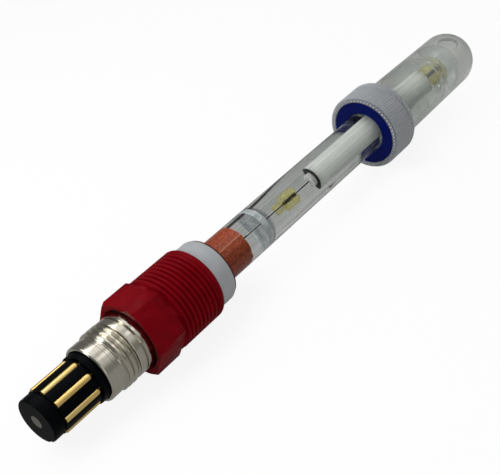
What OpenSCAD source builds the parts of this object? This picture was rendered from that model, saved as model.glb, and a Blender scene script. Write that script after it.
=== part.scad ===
// Combined pH electrode with a screw-in process head, shown lying down with
// its wetting cap on. Millimetres. The axis is X, from the connector towards
// the glass tip. X = 0 is the sealing face of the head, where it meets its
// threaded socket, and every station along X is counted from there.

/* [Glass shaft] */
// Outer diameter of the glass shaft
shaft_d = 12; // [11.4:0.1:12.4]
// Wall of the outer glass tube
shaft_wall = 1; // [0.8:0.05:1.1]
// Length from the sealing face to the tip of the glass bulb
shaft_len = 120; // [116:1:225]
// Length of the shaft that is held inside the head
shaft_in_head = 19.2; // [18:0.2:20]
// Outer diameter of the inner stem
stem_d = 6.4; // [6.2:0.1:6.6]
// Wall of the inner stem
stem_wall = 0.7; // [0.5:0.05:0.8]
// Station of the open upper end of the inner stem
stem_top = 48; // [47:0.5:49]
// Outer diameter of the blown membrane bulb
bulb_d = 10; // [8.5:0.25:11]
// Wall of the membrane bulb
bulb_wall = 0.5; // [0.3:0.05:0.7]

/* [Inside the shaft] */
// Length of the shield sleeve that shows below the head
shield_shown = 11; // [6:0.5:16]
// Wall of the shield sleeve
shield_wall = 0.3; // [0.2:0.05:0.4]
// Station of the crown of the domed glass partition
partition_x = 21.8; // [20:0.2:23]
// Wall of the glass partition
partition_wall = 0.7; // [0.5:0.1:0.9]
// Station where the reference cartridge starts
ref_x = 26.25; // [26:0.25:28]
// Diameter of the reference cartridge
ref_d = 3.3; // [3:0.1:3.8]
// Length of the reference cartridge
ref_len = 9.4; // [8.6:0.2:10]
// Share of the reference cartridge that is its slimmer neck
ref_neck_share = 0.4; // [0.3:0.02:0.5]
// Diameter of a bare electrode wire
wire_d = 0.3; // [0.2:0.05:0.4]
// Diameter of the black silver chloride coat on a wire
coat_d = 0.8; // [0.6:0.05:1]
// Outer diameter of the white insulating sleeve
sleeve_d = 4.6; // [4.2:0.1:4.7]
// Length of the measuring cartridge in the stem
meas_len = 10; // [8:0.5:12]
// Diameter of the measuring cartridge in the stem
meas_d = 4.2; // [3.6:0.1:4.5]
// Diameter of a ceramic junction pin
junction_d = 1; // [0.6:0.1:1.4]
// Number of ceramic junction pins round the shaft
junction_n = 3; // [1:1:4]
// Diameter of the temperature sensor bead
bead_d = 1.4; // [1:0.1:1.5]

/* [Screw-in head] */
// Major diameter of the head's thread
thread_d = 20.4; // [20:0.1:21]
// Pitch of the head's thread
thread_pitch = 1.411; // [1.2:0.05:1.6]
// Depth of the head's thread
thread_depth = 0.62; // [0.4:0.05:0.8]
// Length of the threaded part of the head
thread_len = 15.2; // [13:0.5:17]
// Width across the flats of the hexagon
hex_af = 19; // [18.6:0.2:21]
// Length of the hexagon
hex_len = 8.5; // [8:0.5:11]
// Outer diameter of the thrust ring
ring_d = 18.3; // [17:0.1:18.6]
// Thickness of the thrust ring
ring_t = 5.55; // [4:0.25:7]
// Thickness of the dark red seal washer under the ring
washer_t = 0.35; // [0.25:0.05:0.6]

/* [Connector] */
// Diameter of the plug body between its contacts
plug_d = 12.2; // [11.8:0.1:12.4]
// Diameter of the rounded nose of the plug
nose_d = 11.8; // [11.2:0.1:12.2]
// Length of the nose
nose_len = 2.8; // [2.4:0.1:3.4]
// Edge radius of the nose
nose_r = 0.5; // [0.3:0.1:1]
// Length of the plug from its end face to the mouth of the shell
plug_shown = 16.4; // [16:0.2:18]
// Number of contact strips
contact_n = 7; // [6:1:7]
// Angle from one contact strip to the next
contact_step = 42; // [34:1:44]
// Width of a contact strip
contact_w = 1.8; // [1.4:0.1:2]
// Length of a contact strip
contact_len = 10.8; // [9:0.2:11]
// How far a contact strip stands out of the plug
contact_proud = 0.3; // [0.1:0.05:0.5]
// Diameter of the flush centre contact
centre_d = 3.4; // [2.6:0.1:4]
// Major diameter of the shell's thread
shell_d = 16.2; // [16:0.1:16.6]
// Pitch of the shell's thread
shell_pitch = 1.5; // [1.2:0.05:1.55]
// Turns of thread on the shell
shell_turns = 3; // [2:1:3]
// Depth of the shell's thread
shell_depth = 0.6; // [0.4:0.05:0.7]
// Length of the shell from its mouth to the head
shell_shown = 13.6; // [13.2:0.2:16]
// Number of flats on the rear edge of the shell's flange
flange_flats = 12; // [8:2:12]

/* [Wetting cap] */
// Overall length of the cap
cap_len = 57.3; // [53:0.1:64]
// Room between the glass tip and the closed end of the bottle
tip_room = 9.2; // [5:0.2:9.6]
// Wall of the cap nut over the bottle's neck, knurl included
nut_wall = 0.95; // [0.8:0.05:1.5]
// Length of the cap nut
nut_len = 10.4; // [9:0.2:12]
// Number of knurl ribs on the cap nut
knurl_n = 72; // [36:4:84]
// Depth of the knurl
knurl_depth = 0.2; // [0.1:0.05:0.3]
// How far the nut's front lip overhangs the neck of the bottle
lip_over = 0.55; // [0.3:0.05:0.9]
// Outer diameter of the bottle's neck
neck_d = 21.2; // [20.8:0.1:21.8]
// Outer diameter of the bottle behind its neck
bottle_d = 18.2; // [17.6:0.1:18.8]
// Diameter of the bottle's rounded end
bottle_end_d = 17.4; // [16.6:0.1:18]
// Wall of the bottle
bottle_wall = 1.1; // [0.8:0.1:1.2]
// Thickness of the seal's flange
seal_flange_t = 1.8; // [1.2:0.1:2.4]

/* [Fits] */
// Radial clearance of a part that turns or slides
run_fit = 0.05; // [0.03:0.01:0.08]
// Clearance of a part that is glued or pressed in
still_fit = 0.03; // [0.02:0.01:0.05]

/* [Hidden] */
$fn = 96;
wire_fn = 24;
wire_sides = 12;

// Radii of the glass
shaft_r = shaft_d / 2;
tube_r = shaft_r - shaft_wall;
stem_r = stem_d / 2;
stem_bore_r = stem_r - stem_wall;

// Stations of the head, from the sealing face back to the connector
ring_x = -washer_t - run_fit;
thread_end = ring_x - ring_t - run_fit;
hex_back = thread_end - thread_len;
head_front = hex_back - hex_len;
shaft_top = thread_end - shaft_in_head + 6;
thread_r = thread_d / 2;
thread_root = thread_r - thread_depth;
washer_inset = 0.45;
ring_edge = 0.7;
crest_w = 0.3;
thread_land = 1.6;
thread_chamfer = 0.9;
thread_turns = floor((thread_len - thread_land - 0.8) / thread_pitch);
thread_x = thread_end - thread_land - thread_turns * thread_pitch;
hex_r = hex_af / 2 / cos(30);
hex_bevel = 0.9;

// Stations and radii of the connector
shell_x = head_front - shell_shown;
plug_x = shell_x - plug_shown;
shell_r = shell_d / 2;
shell_root = shell_r - shell_depth;
land_r = shell_r - 0.45;
flange_r = shell_r - 0.1;
shell_bore_r = 6.75;
collar_r = shell_bore_r - run_fit;
collar_x = shell_x - 1.9;
collar_back = shell_x + 12.3;
boss_r = 5.9;
boss_back = collar_back + 4.8;
skirt_r = 7;
skirt_x = head_front + 0.4;
skirt_back = skirt_x + 6.5;
flange_x = head_front - 1.9;
undercut_x = shell_x + 3.2;
undercut_w = 1.2;
shell_crest = 0.45;
shell_thread_x = undercut_x + undercut_w;
shell_thread_back = shell_thread_x + shell_turns * shell_pitch;
flats_x = head_front - 1.1;
groove_w = 0.6;
seal_d = 1;
pocket_r = shell_r + 0.5;
pocket_back = skirt_x + seal_d + run_fit;

// Contacts lie on a pitch circle and run back through the plug as round tails
contact_r = contact_w / 2;
contact_pcr = plug_d / 2 + contact_proud - contact_r;
contact_back = collar_x - 0.1;
contact_front = contact_back - contact_len;
contact_mid = 9.1;
contact_first = contact_mid - floor(contact_n / 2) * contact_step;
slot_r = contact_r + 0.08;
slot_lead = 0.5;
tail_r = 0.4;
tail_pcr = 5.1;
tail_end = boss_back + 1.2;
centre_recess = 0.05;
centre_depth = 3.6;
key_angle = contact_mid + 149;
key_w = 1.5;
key_depth = 0.8;

// Inside of the shaft
shield_r = tube_r - still_fit;
shield_end = shield_shown;
potting_end = shaft_top + 4;
dome_r = 5.4;
dome_x = partition_x - dome_r;
ref_end = ref_x + ref_len;
ref_neck_r = ref_d / 2 - 0.6;
coat_r = coat_d / 2;
wire_r = wire_d / 2;
spigot_len = 2.6;
seal_ring_r = 0.46;
seal_ring_gap = 0.04;
spigot_r = sleeve_d / 2 - 2 * seal_ring_r - still_fit;
sleeve_x = stem_top - 3.4;
bulb_r = bulb_d / 2;
bulb_x = shaft_len - bulb_r;
stem_end = bulb_x - sqrt(pow(bulb_r, 2) - pow(stem_r, 2));
meas_x = stem_end + 2 - meas_len;
sleeve_end = meas_x - 0.3;
throat_r = shaft_r - stem_r - 0.2;
throat_x = stem_end - 5.7;
junction_x = throat_x - 4.5;
bead_len = 3.4;
bead_x = junction_x - 5;
bead_pcr = (tube_r + stem_r) / 2;
bead_angle = -130;
lead_angle = -38;
lead_spread = 5;
lead_turn_x = 34;
lead_turn_len = 9;
lead_turn_steps = 6;
junction_angle = -40;

// The wires cross the dry upper part as straight runs: [radius, angle] of each
ref_run = [2.3, -39.9];
crown_run = [0, 0];
meas_run = [3.3, 230];
lead_runs = [[bead_pcr, lead_angle - lead_spread], [bead_pcr, lead_angle + lead_spread]];
bend_x = tail_end + 4;
wire_lead = 1;

// Cap, from the mouth of its nut to the closed end of its bottle
cap_x = shaft_len + tip_room - cap_len;
nut_bore_r = neck_d / 2 + 2 * run_fit;
nut_r = nut_bore_r + nut_wall;
nut_mouth_r = neck_d / 2 - lip_over;
nut_edge = 0.9;
lip_t = 1.5;
seal_x = cap_x + lip_t + run_fit;
seal_back = seal_x + seal_flange_t;
cone_len = 2.4;
neck_bore_r = shaft_r + 1.2;
cone_r = neck_bore_r + 0.9;
neck_x = seal_back + 2 * run_fit;
neck_back = cap_x + nut_len + 0.2;
shoulder_len = 2.4;
bottle_r = bottle_d / 2;
end_r = bottle_end_d / 2;
end_x = cap_x + cap_len - end_r;

// Puts a shape drawn along Z onto the X axis, starting at station x
module along(x) { translate([x, 0, 0]) rotate([0, 90, 0]) children(); }

// A solid of revolution about X, from [radius, station] points
module turned(points) { rotate([0, 90, 0]) rotate_extrude() polygon(points); }

// A plain tube or rod about X
module tube(x0, x1, r_out, r_in = 0) {
    difference() {
        along(x0) cylinder(r = r_out, h = x1 - x0);
        if (r_in > 0) along(x0 - 1) cylinder(r = r_in, h = x1 - x0 + 2);
    }
}

// A hollow ball of glass centred at station x, kept beyond station x0 and inside radius r_max
module blown_shell(x, r, wall, x0, r_max) {
    along(x) rotate_extrude() intersection() {
        difference() {
            circle(r = r);
            circle(r = r - wall);
        }
        translate([0, x0 - x]) square([r_max, r - x0 + x + 1]);
    }
}

// The point at station x on a circle of radius r, at an angle from +Z
function at(x, r, angle) = [x, -r * sin(angle), r * cos(angle)];

// A quarter round from angle a0 to a1 as [radius, station] points
function bow(r, x, size, a0, a1, n = 6) =
    [for (i = [0:n]) let (a = a0 + (a1 - a0) * i / n) [r + size * cos(a), x + size * sin(a)]];

// Thread ridges as [radius, station] points: n of them from station x, each with a flat crest
function ridge(x, root, crest, pitch, flat) =
    [[root, x - pitch / 2 + 0.1], [crest, x - flat / 2],
     [crest, x + flat / 2], [root, x + pitch / 2 - 0.1]];
function ridges(x, n, root, crest, pitch, flat) =
    [for (i = [0:n - 1], p = ridge(x + (i + 0.5) * pitch, root, crest, pitch, flat)) p];

// A round wire through a list of points that runs on along X. Its rings stand across X.
module wire(points, d) {
    n = wire_sides;
    last = len(points) - 1;
    polyhedron(
        [for (p = points, k = [0:n - 1]) p + d / 2 * [0, cos(k * 360 / n), sin(k * 360 / n)]],
        concat(
            [[for (k = [0:n - 1]) k]],
            [[for (k = [0:n - 1]) last * n + n - 1 - k]],
            [for (i = [0:last - 1], k = [0:n - 1]) let (next = (k + 1) % n)
                [i * n + k, (i + 1) * n + k, (i + 1) * n + next, i * n + next]]));
}

// The straight run of every wire, as rods that clear it, for the holes they pass
module wire_holes(x0, x1, ref) {
    for (run = concat([ref, meas_run], lead_runs))
        translate([0, at(0, run[0], run[1]).y, at(0, run[0], run[1]).z])
            along(x0) cylinder(r = wire_r + still_fit, h = x1 - x0, $fn = wire_fn);
}

// Black moulded plug: nose, contact barrel, collar and rear boss
module connector_plug() {
    nose = nose_d / 2;
    color("#17181b") difference() {
        turned(concat(
            [[0, plug_x], [nose - nose_r, plug_x]],
            bow(nose - nose_r, plug_x + nose_r, nose_r, -90, 0),
            [[nose, plug_x + nose_len], [nose - 0.25, plug_x + nose_len + 0.1],
             [nose - 0.25, plug_x + nose_len + 0.4], [plug_d / 2, plug_x + nose_len + 0.6],
             [plug_d / 2, collar_x], [collar_r, collar_x], [collar_r, collar_back],
             [boss_r, collar_back], [boss_r, boss_back], [0, boss_back]]));
        for (i = [1:contact_n]) rotate([contact_angle(i), 0, 0]) {
            along(contact_front - slot_lead) linear_extrude(collar_x + 0.15 - contact_front + slot_lead) {
                translate([-contact_pcr, 0]) circle(r = slot_r);
                translate([-contact_pcr - contact_w, -slot_r]) square([contact_w, 2 * slot_r]);
            }
            translate([0, 0, tail_pcr])
                along(collar_x - 1) cylinder(r = tail_r + still_fit, h = tail_end - collar_x + 1);
        }
        along(plug_x - 1) cylinder(r = centre_d / 2 + still_fit, h = centre_depth + still_fit + 1);
        along(plug_x - 1) cylinder(r = 2 * tail_r + still_fit, h = tail_end - plug_x + 1);
        rotate([key_angle, 0, 0])
            translate([plug_x - 1, -key_w / 2, nose - key_depth])
                cube([nose_len + 1.1, key_w, 2 * key_depth]);
    }
}

function contact_angle(i) = contact_first + (i - 1) * contact_step;

// Gilt contact strip with a rounded rear end, on a tail that runs through the plug
module contact(i) {
    color("#d9b45a") rotate([contact_angle(i), 0, 0]) {
        translate([0, 0, contact_pcr]) {
            along(contact_front) cylinder(r = contact_r, h = contact_len - contact_r);
            translate([contact_back - contact_r, 0, 0]) sphere(r = contact_r);
        }
        translate([0, 0, tail_pcr])
            along(contact_back - 2 * contact_r) cylinder(r = tail_r, h = tail_end - contact_back + 2 * contact_r);
    }
}

// Round contact, flush with the end face, on its own tail
module centre_contact() {
    front = plug_x + centre_recess;
    color("#8d8b84") turned([[0, front], [centre_d / 2, front], [centre_d / 2, plug_x + centre_depth],
        [2 * tail_r, plug_x + centre_depth], [2 * tail_r, tail_end], [0, tail_end]]);
}

// Nickel-plated shell: rounded mouth, threaded barrel, groove, scalloped flange, skirt
module connector_shell() {
    mouth = 0.5;
    color("#b9b6ac") difference() {
        intersection() {
            turned(concat(
                [[shell_bore_r - 0.85, skirt_back], [shell_bore_r - 0.85, collar_back], [shell_bore_r, collar_back],
                 [shell_bore_r, shell_x + 0.2], [shell_bore_r + 0.2, shell_x]],
                bow(land_r - mouth, shell_x + mouth, mouth, -90, 0),
                [[land_r, undercut_x - 0.1], [shell_root, undercut_x]],
                ridges(shell_thread_x, shell_turns, shell_root, shell_r, shell_pitch, shell_crest),
                [[shell_root, shell_thread_back], [flange_r, shell_thread_back + 0.3],
                 [flange_r, flange_x - groove_w], [shell_root, flange_x - groove_w],
                 [shell_root, flange_x], [flange_r, flange_x],
                 [flange_r, skirt_x - 0.1], [skirt_r, skirt_x - 0.1], [skirt_r, skirt_back]]));
            union() {
                along(shell_x - 1) cylinder(r = shell_r + 1, h = flats_x - shell_x + 1);
                along(flats_x - 0.5) cylinder(r = flange_r + 0.03, h = skirt_back - flats_x + 1, $fn = flange_flats);
            }
        }
    }
}

// Black O-ring between the shell's flange and the floor of its pocket
module shell_seal() {
    color("#141414") along(skirt_x - 0.05 + seal_d / 2)
        rotate_extrude() translate([skirt_r + seal_d / 2 + still_fit, 0]) circle(d = seal_d - 0.04, $fn = 48);
}

// Crimson moulded head: hexagon, process thread and the bores of its two neighbours
module gland_body() {
    color("#8e1226") difference() {
        union() {
            intersection() {
                rotate([30, 0, 0]) along(head_front) cylinder(r = hex_r, h = hex_len, $fn = 6);
                turned([[0, head_front], [hex_r - hex_bevel, head_front], [hex_r + 0.1, head_front + 0.6],
                    [hex_r + 0.1, hex_back - 0.35], [hex_r - 0.6, hex_back], [0, hex_back]]);
            }
            turned(concat(
                [[0, hex_back - 1], [thread_root, hex_back - 1]],
                ridges(thread_x, thread_turns, thread_root, thread_r, thread_pitch, crest_w),
                [[thread_root, thread_end - thread_land], [thread_r, thread_end - thread_land + 0.35],
                 [thread_r, thread_end - thread_chamfer], [thread_r - thread_chamfer, thread_end],
                 [0, thread_end]]));
        }
        tube(head_front - 1, pocket_back, pocket_r);
        tube(head_front - 1, skirt_back + 0.2, skirt_r + still_fit);
        tube(head_front - 1, thread_end, tube_r - 0.1);
        tube(shaft_top - 0.1, thread_end + 1, shaft_r + still_fit);
    }
}

// Cast resin that closes the top of the glass tube round the wires
module head_potting() {
    color("#4a3b30") difference() {
        tube(shaft_top, potting_end, tube_r - still_fit);
        wire_holes(shaft_top - 1, potting_end + 1, ref_run);
    }
}

// White thrust ring that turns freely under the head
module thrust_ring() {
    r = ring_d / 2;
    edge = ring_edge;
    bore = shaft_r + run_fit;
    color("#d9dadb") turned(concat(
        [[bore, ring_x], [bore, thread_end + run_fit], [r - 0.3, thread_end + run_fit], [r, thread_end + run_fit + 0.3]],
        bow(r - edge, ring_x - edge, edge, 0, 90)));
}

// Thin dark red washer that grips the glass and carries the ring
module seal_washer() {
    color("#5d1a17") tube(-washer_t, 0, ring_d / 2 - washer_inset, shaft_r + still_fit);
}

// Outer glass tube, drawn in to a round shoulder that closes on the stem
module glass_shaft() {
    color("#c4ccd0", 0.4) difference() {
        turned(concat(
            [[tube_r, shaft_top]], [[shaft_r, shaft_top]],
            bow(shaft_r - throat_r, throat_x, throat_r, 0, 90, 8),
            [[stem_r + still_fit, throat_x + throat_r], [stem_r + still_fit, throat_x + throat_r - shaft_wall]],
            bow(shaft_r - throat_r, throat_x, throat_r - shaft_wall, 90, 0, 8)));
        for (i = [1:junction_n]) junction_rod(i, junction_d / 2 + still_fit);
    }
}

// A radial rod at the place of ceramic junction i
module junction_rod(i, r) {
    rotate([junction_angle + i * 360 / junction_n, 0, 0])
        translate([junction_x, 0, tube_r - 1]) cylinder(r = r, h = shaft_wall + 2, $fn = wire_fn);
}

// White ceramic pin, fused into the wall of the shaft and ground flush
module junction(i) {
    color("#e8e4d8") intersection() {
        junction_rod(i, junction_d / 2);
        tube(junction_x - 2, junction_x + 2, shaft_r, tube_r);
    }
}

// Copper-brown shield wrapped inside the glass, under and below the head
module shield_sleeve() {
    color("#96503a") tube(potting_end + 0.2, shield_end, shield_r, shield_r - shield_wall);
}

// Domed glass wall between the dry head and the electrolyte
module glass_partition() {
    color("#aeb9c0", 0.5) difference() {
        blown_shell(dome_x, dome_r, partition_wall, dome_x + 2, tube_r - still_fit);
        wire_holes(dome_x, partition_x + 1, crown_run);
    }
}

// Yellow reference cartridge: a slim neck and a wider body round the coated wire
module reference_cartridge() {
    neck = ref_len * ref_neck_share;
    color("#c9c06a") turned([[wire_r + still_fit, ref_x], [ref_neck_r, ref_x + 0.4], [ref_neck_r, ref_x + neck],
        [ref_d / 2, ref_x + neck], [ref_d / 2, ref_end], [coat_r + still_fit, ref_end],
        [coat_r + still_fit, ref_x + neck - 0.1], [wire_r + still_fit, ref_x + neck - 0.1]]);
}

// Silver wire of the reference half, coated black where it lies in the cartridge
module reference_wire() {
    color("#26262c") {
        wire([at(tail_end + 0.05, tail_pcr, contact_angle(2)), at(bend_x, ref_run[0], ref_run[1]),
              at(dome_x - wire_lead, ref_run[0], ref_run[1]), at(partition_x - 1.5, crown_run[0], crown_run[1]),
              [ref_x + ref_len * ref_neck_share, 0, 0]], wire_d);
        tube(ref_x + ref_len * ref_neck_share, ref_end - 0.1, coat_r);
    }
}

// Inner stem, open at the top and blown on to the bulb at its foot
module inner_stem() {
    color("#c9d2d6", 0.4) tube(stem_top, stem_end, stem_r, stem_bore_r);
}

// White insulating sleeve that carries the measuring wire down the stem
module insulating_sleeve() {
    color("#dedbd0") difference() {
        turned([[0, sleeve_x - spigot_len], [spigot_r, sleeve_x - spigot_len], [spigot_r, sleeve_x],
            [sleeve_d / 2, sleeve_x], [sleeve_d / 2, sleeve_end], [0, sleeve_end]]);
        tube(sleeve_x - spigot_len - 1, sleeve_end + 1, wire_r + still_fit);
    }
}

// Black sealing ring on the spigot of the insulating sleeve
module sleeve_ring() {
    color("#101214") along(sleeve_x - seal_ring_r - seal_ring_gap)
        rotate_extrude() translate([sleeve_d / 2 - seal_ring_r, 0]) circle(r = seal_ring_r, $fn = 36);
}

// Yellow cartridge of the measuring half, at the foot of the stem
module measuring_cartridge() {
    color("#c9c06a") turned([[coat_r + still_fit, meas_x], [meas_d / 2, meas_x],
        [meas_d / 2, meas_x + meas_len - 0.8], [meas_d / 2 - 0.8, meas_x + meas_len], [coat_r + still_fit, meas_x + meas_len]]);
}

// Silver wire of the measuring half, from the centre contact to its cartridge
module measuring_wire() {
    color("#26262c") {
        wire([[tail_end + 0.05, 0, 0], at(bend_x, meas_run[0], meas_run[1]),
              at(ref_end + 1.3, meas_run[0], meas_run[1]), [sleeve_x - spigot_len - wire_lead, 0, 0],
              [meas_x + 1, 0, 0]], wire_d);
        tube(meas_x + 1, meas_x + meas_len - 1, coat_r);
    }
}

// Thin blown bulb of pH-sensitive glass on the end of the stem
module membrane_bulb() {
    color("#d5dde0", 0.4) blown_shell(bulb_x, bulb_r, bulb_wall, stem_end, bulb_r + 1);
}

// Temperature sensor: a glass bead beside the stem
module temperature_bead() {
    r = bead_d / 2;
    color("#30343a") translate([0, at(0, bead_pcr, bead_angle).y, at(0, bead_pcr, bead_angle).z]) {
        along(bead_x) cylinder(r = r, h = bead_len - r);
        translate([bead_x + bead_len - r, 0, 0]) sphere(r = r);
    }
}

// One of the sensor's two leads: from a contact tail along the wall of the tube,
// then in part of a turn round to the far side and on beside the stem to the bead
module sensor_lead(k) {
    run = lead_runs[k - 1];
    turn = bead_angle - lead_angle;
    color("#3a3230") wire(concat(
        [at(tail_end + 0.05, tail_pcr, contact_angle(2 + k)), at(bend_x, run[0], run[1])],
        [for (i = [0:lead_turn_steps]) let (t = i / lead_turn_steps)
            at(lead_turn_x + t * lead_turn_len, run[0], run[1] + t * turn)],
        [at(bead_x - 0.02, run[0], run[1] + turn)]), wire_d);
}

// Deep blue elastomer seal: face, clamped flange and the cone that enters the neck
module cap_seal() {
    face_r = nut_mouth_r - run_fit;
    bore = shaft_r + run_fit;
    color("#0b1a78") turned([[bore, cap_x + 0.6], [bore + 0.6, cap_x + 0.1], [face_r - 0.3, cap_x + 0.1],
        [face_r, cap_x + 0.4], [face_r, seal_x], [neck_d / 2, seal_x], [neck_d / 2, seal_back],
        [cone_r, seal_back], [neck_bore_r, seal_back + cone_len], [bore, seal_back + cone_len]]);
}

// Clear nut: knurled rim, front lip over the seal and a bore for the bottle's neck
module cap_nut() {
    rim = nut_r - knurl_depth;
    color("#c3c8cc", 0.6) difference() {
        intersection() {
            along(cap_x) linear_extrude(nut_len) polygon(
                [for (i = [0:knurl_n - 1], k = [0:2]) let (a = (i + k / 3) * 360 / knurl_n, r = k == 0 ? rim : nut_r)
                    [r * cos(a), r * sin(a)]]);
            turned(concat(
                [[0, cap_x], [nut_r - 0.25, cap_x], [nut_r + 0.1, cap_x + 0.35]],
                bow(nut_r + 0.1 - nut_edge, cap_x + nut_len - nut_edge, nut_edge, 0, 90),
                [[0, cap_x + nut_len]]));
        }
        tube(cap_x - 1, cap_x + nut_len + 1, nut_mouth_r);
        tube(cap_x + lip_t, cap_x + nut_len + 1, nut_bore_r);
    }
}

// Clear bottle: neck with a coned mouth, slightly tapered body and a domed end
module cap_bottle() {
    bore_x = neck_back + 1.5;
    color("#cdd3d6", 0.4) difference() {
        union() {
            tube(neck_x, neck_back, neck_d / 2);
            along(neck_back) cylinder(r1 = neck_d / 2, r2 = bottle_r, h = shoulder_len);
            along(neck_back + shoulder_len) cylinder(r1 = bottle_r, r2 = end_r, h = end_x - neck_back - shoulder_len);
            translate([end_x, 0, 0]) sphere(r = end_r);
        }
        along(neck_x - 0.001) cylinder(r1 = cone_r + 2 * run_fit, r2 = neck_bore_r + 2 * run_fit, h = cone_len);
        tube(neck_x - 1, end_x, neck_bore_r);
        along(bore_x) cylinder(r1 = neck_bore_r, r2 = bottle_r - bottle_wall, h = 1);
        along(bore_x + 1) cylinder(r1 = bottle_r - bottle_wall, r2 = end_r - bottle_wall, h = end_x - bore_x - 1);
        translate([end_x, 0, 0]) sphere(r = end_r - bottle_wall);
    }
}

connector_plug();
centre_contact();
connector_shell();
shell_seal();
gland_body();
head_potting();
thrust_ring();
seal_washer();
glass_shaft();
shield_sleeve();
glass_partition();
reference_cartridge();
reference_wire();
inner_stem();
insulating_sleeve();
sleeve_ring();
measuring_cartridge();
measuring_wire();
membrane_bulb();
temperature_bead();
sensor_lead(1);  // sensor_lead_1
sensor_lead(2);  // sensor_lead_2
cap_seal();
cap_nut();
cap_bottle();
for (i = [1:contact_n]) contact(i);
for (i = [1:junction_n]) junction(i);
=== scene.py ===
import math
import random

import bmesh
import bpy
from mathutils import Matrix, Vector


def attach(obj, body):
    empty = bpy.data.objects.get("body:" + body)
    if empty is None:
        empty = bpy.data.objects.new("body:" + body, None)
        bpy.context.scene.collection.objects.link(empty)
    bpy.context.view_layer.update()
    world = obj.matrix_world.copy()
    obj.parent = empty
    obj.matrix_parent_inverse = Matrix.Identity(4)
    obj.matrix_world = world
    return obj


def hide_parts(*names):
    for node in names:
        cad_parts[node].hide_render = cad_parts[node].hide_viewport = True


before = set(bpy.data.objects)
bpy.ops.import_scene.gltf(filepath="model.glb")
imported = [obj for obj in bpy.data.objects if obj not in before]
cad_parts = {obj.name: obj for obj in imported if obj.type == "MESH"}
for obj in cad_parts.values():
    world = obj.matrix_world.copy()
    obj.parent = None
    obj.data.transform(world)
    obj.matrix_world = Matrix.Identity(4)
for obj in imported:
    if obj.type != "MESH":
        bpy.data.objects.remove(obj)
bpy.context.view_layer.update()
print("frame loaded:", len(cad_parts), "nodes")

mm = 0.001
scene = bpy.context.scene

# The electrode's axis is X, in millimetres from the sealing face under the head.

# Camera

camera = {
    "place": (-136.2, -164.5, 136.9),
    "right": (0.6094, -0.7588, -0.2299),
    "up": (0.5404, 0.1854, 0.8207),
    "lens": 72.0,
    "sensor": 36.0,
}


def addObject(name, data):
    thing = bpy.data.objects.new(name, data)
    scene.collection.objects.link(thing)
    return thing


def placeCamera(settings):
    data = bpy.data.cameras.new("photoCamera")
    data.lens = settings["lens"]
    data.sensor_width = settings["sensor"]
    data.clip_start = 0.005
    data.clip_end = 20
    scene.camera = addObject("photoCamera", data)
    right = Vector(settings["right"]).normalized()
    up = Vector(settings["up"])
    up = (up - right * up.dot(right)).normalized()
    turn = Matrix((right, up, right.cross(up))).transposed().to_4x4()
    scene.camera.matrix_world = Matrix.Translation(Vector(settings["place"]) * mm) @ turn


placeCamera(camera)

# Small tools for shapes


def newPiece(name, points, faces, smooth=True):
    mesh = bpy.data.meshes.new(name)
    mesh.from_pydata([Vector(p) * mm for p in points], [], faces)
    mesh.validate()
    mesh.polygons.foreach_set("use_smooth", [smooth] * len(mesh.polygons))
    return addObject(name, mesh)


def arc(x, r, size, start, end, steps=8):
    # (station, radius) points of an arc round (x, r); 0 degrees points outwards, 90 to the tip
    angles = [math.radians(start + (end - start) * i / steps) for i in range(steps + 1)]
    return [(x + size * math.sin(a), r + size * math.cos(a)) for a in angles]


def fill(profile, step):
    # adds points so that no stretch of the outline is longer than step
    filled = [profile[0]]
    for a, b in zip(profile, profile[1:]):
        count = max(1, math.ceil(math.dist(a, b) / step))
        for i in range(1, count + 1):
            filled.append((a[0] + (b[0] - a[0]) * i / count, a[1] + (b[1] - a[1]) * i / count))
    return filled


def lathe(name, profile, sides=128, closed=True, sharp=35):
    # turns a (station, radius) outline round the axis; a radius of 0 becomes one pole
    angles = [math.tau * k / sides for k in range(sides)]
    points, rings = [], []
    for x, r in profile:
        ring = [(x, r * math.cos(angle), r * math.sin(angle)) for angle in angles] if r > 1e-6 else [(x, 0, 0)]
        rings.append(range(len(points), len(points) + len(ring)))
        points += ring
    faces = []
    pairs = list(zip(rings, rings[1:])) + ([(rings[-1], rings[0])] if closed and len(rings[0]) > 1 else [])
    for a, b in pairs:
        for k in range(sides):
            n = (k + 1) % sides
            if len(a) > 1 and len(b) > 1:
                faces.append((a[k], a[n], b[n], b[k]))
            elif len(a) > 1:
                faces.append((a[k], a[n], b[0]))
            elif len(b) > 1:
                faces.append((a[0], b[n], b[k]))
    return closeShape(newPiece(name, points, faces), sharp)


def closeShape(piece, sharp):
    # joins its seams, turns its faces outwards and keeps edges sharper than so many degrees crisp
    bm = bmesh.new()
    bm.from_mesh(piece.data)
    bmesh.ops.remove_doubles(bm, verts=bm.verts, dist=1e-7)
    bmesh.ops.recalc_face_normals(bm, faces=bm.faces)
    bm.to_mesh(piece.data)
    bm.free()
    piece.data.set_sharp_from_angle(angle=math.radians(sharp))
    return piece


def finishPiece(piece, material, body, slot, *nodes):
    piece.data.materials.clear()
    piece.data.materials.append(material)
    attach(piece, body)
    if nodes:
        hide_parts(*nodes)
    return piece


# Small tools for nodes and materials


def hexColour(code):
    channels = [int(code[i : i + 2], 16) / 255 for i in (1, 3, 5)]
    return [c / 12.92 if c <= 0.04045 else ((c + 0.055) / 1.055) ** 2.4 for c in channels] + [1.0]


def setInputs(tree, node, inputs):
    for key, value in inputs.items():
        if isinstance(value, bpy.types.NodeSocket):
            tree.links.new(value, node.inputs[key])
        else:
            node.inputs[key].default_value = value


def addNode(tree, kind, settings=None, inputs=None):
    node = tree.nodes.new(kind)
    for key, value in (settings or {}).items():
        setattr(node, key, value)
    setInputs(tree, node, inputs or {})
    return node


def maths(tree, operation, a, b=0.0, c=0.0, clamp=False):
    settings = {"operation": operation, "use_clamp": clamp}
    return addNode(tree, "ShaderNodeMath", settings, {0: a, 1: b, 2: c}).outputs["Value"]


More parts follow.
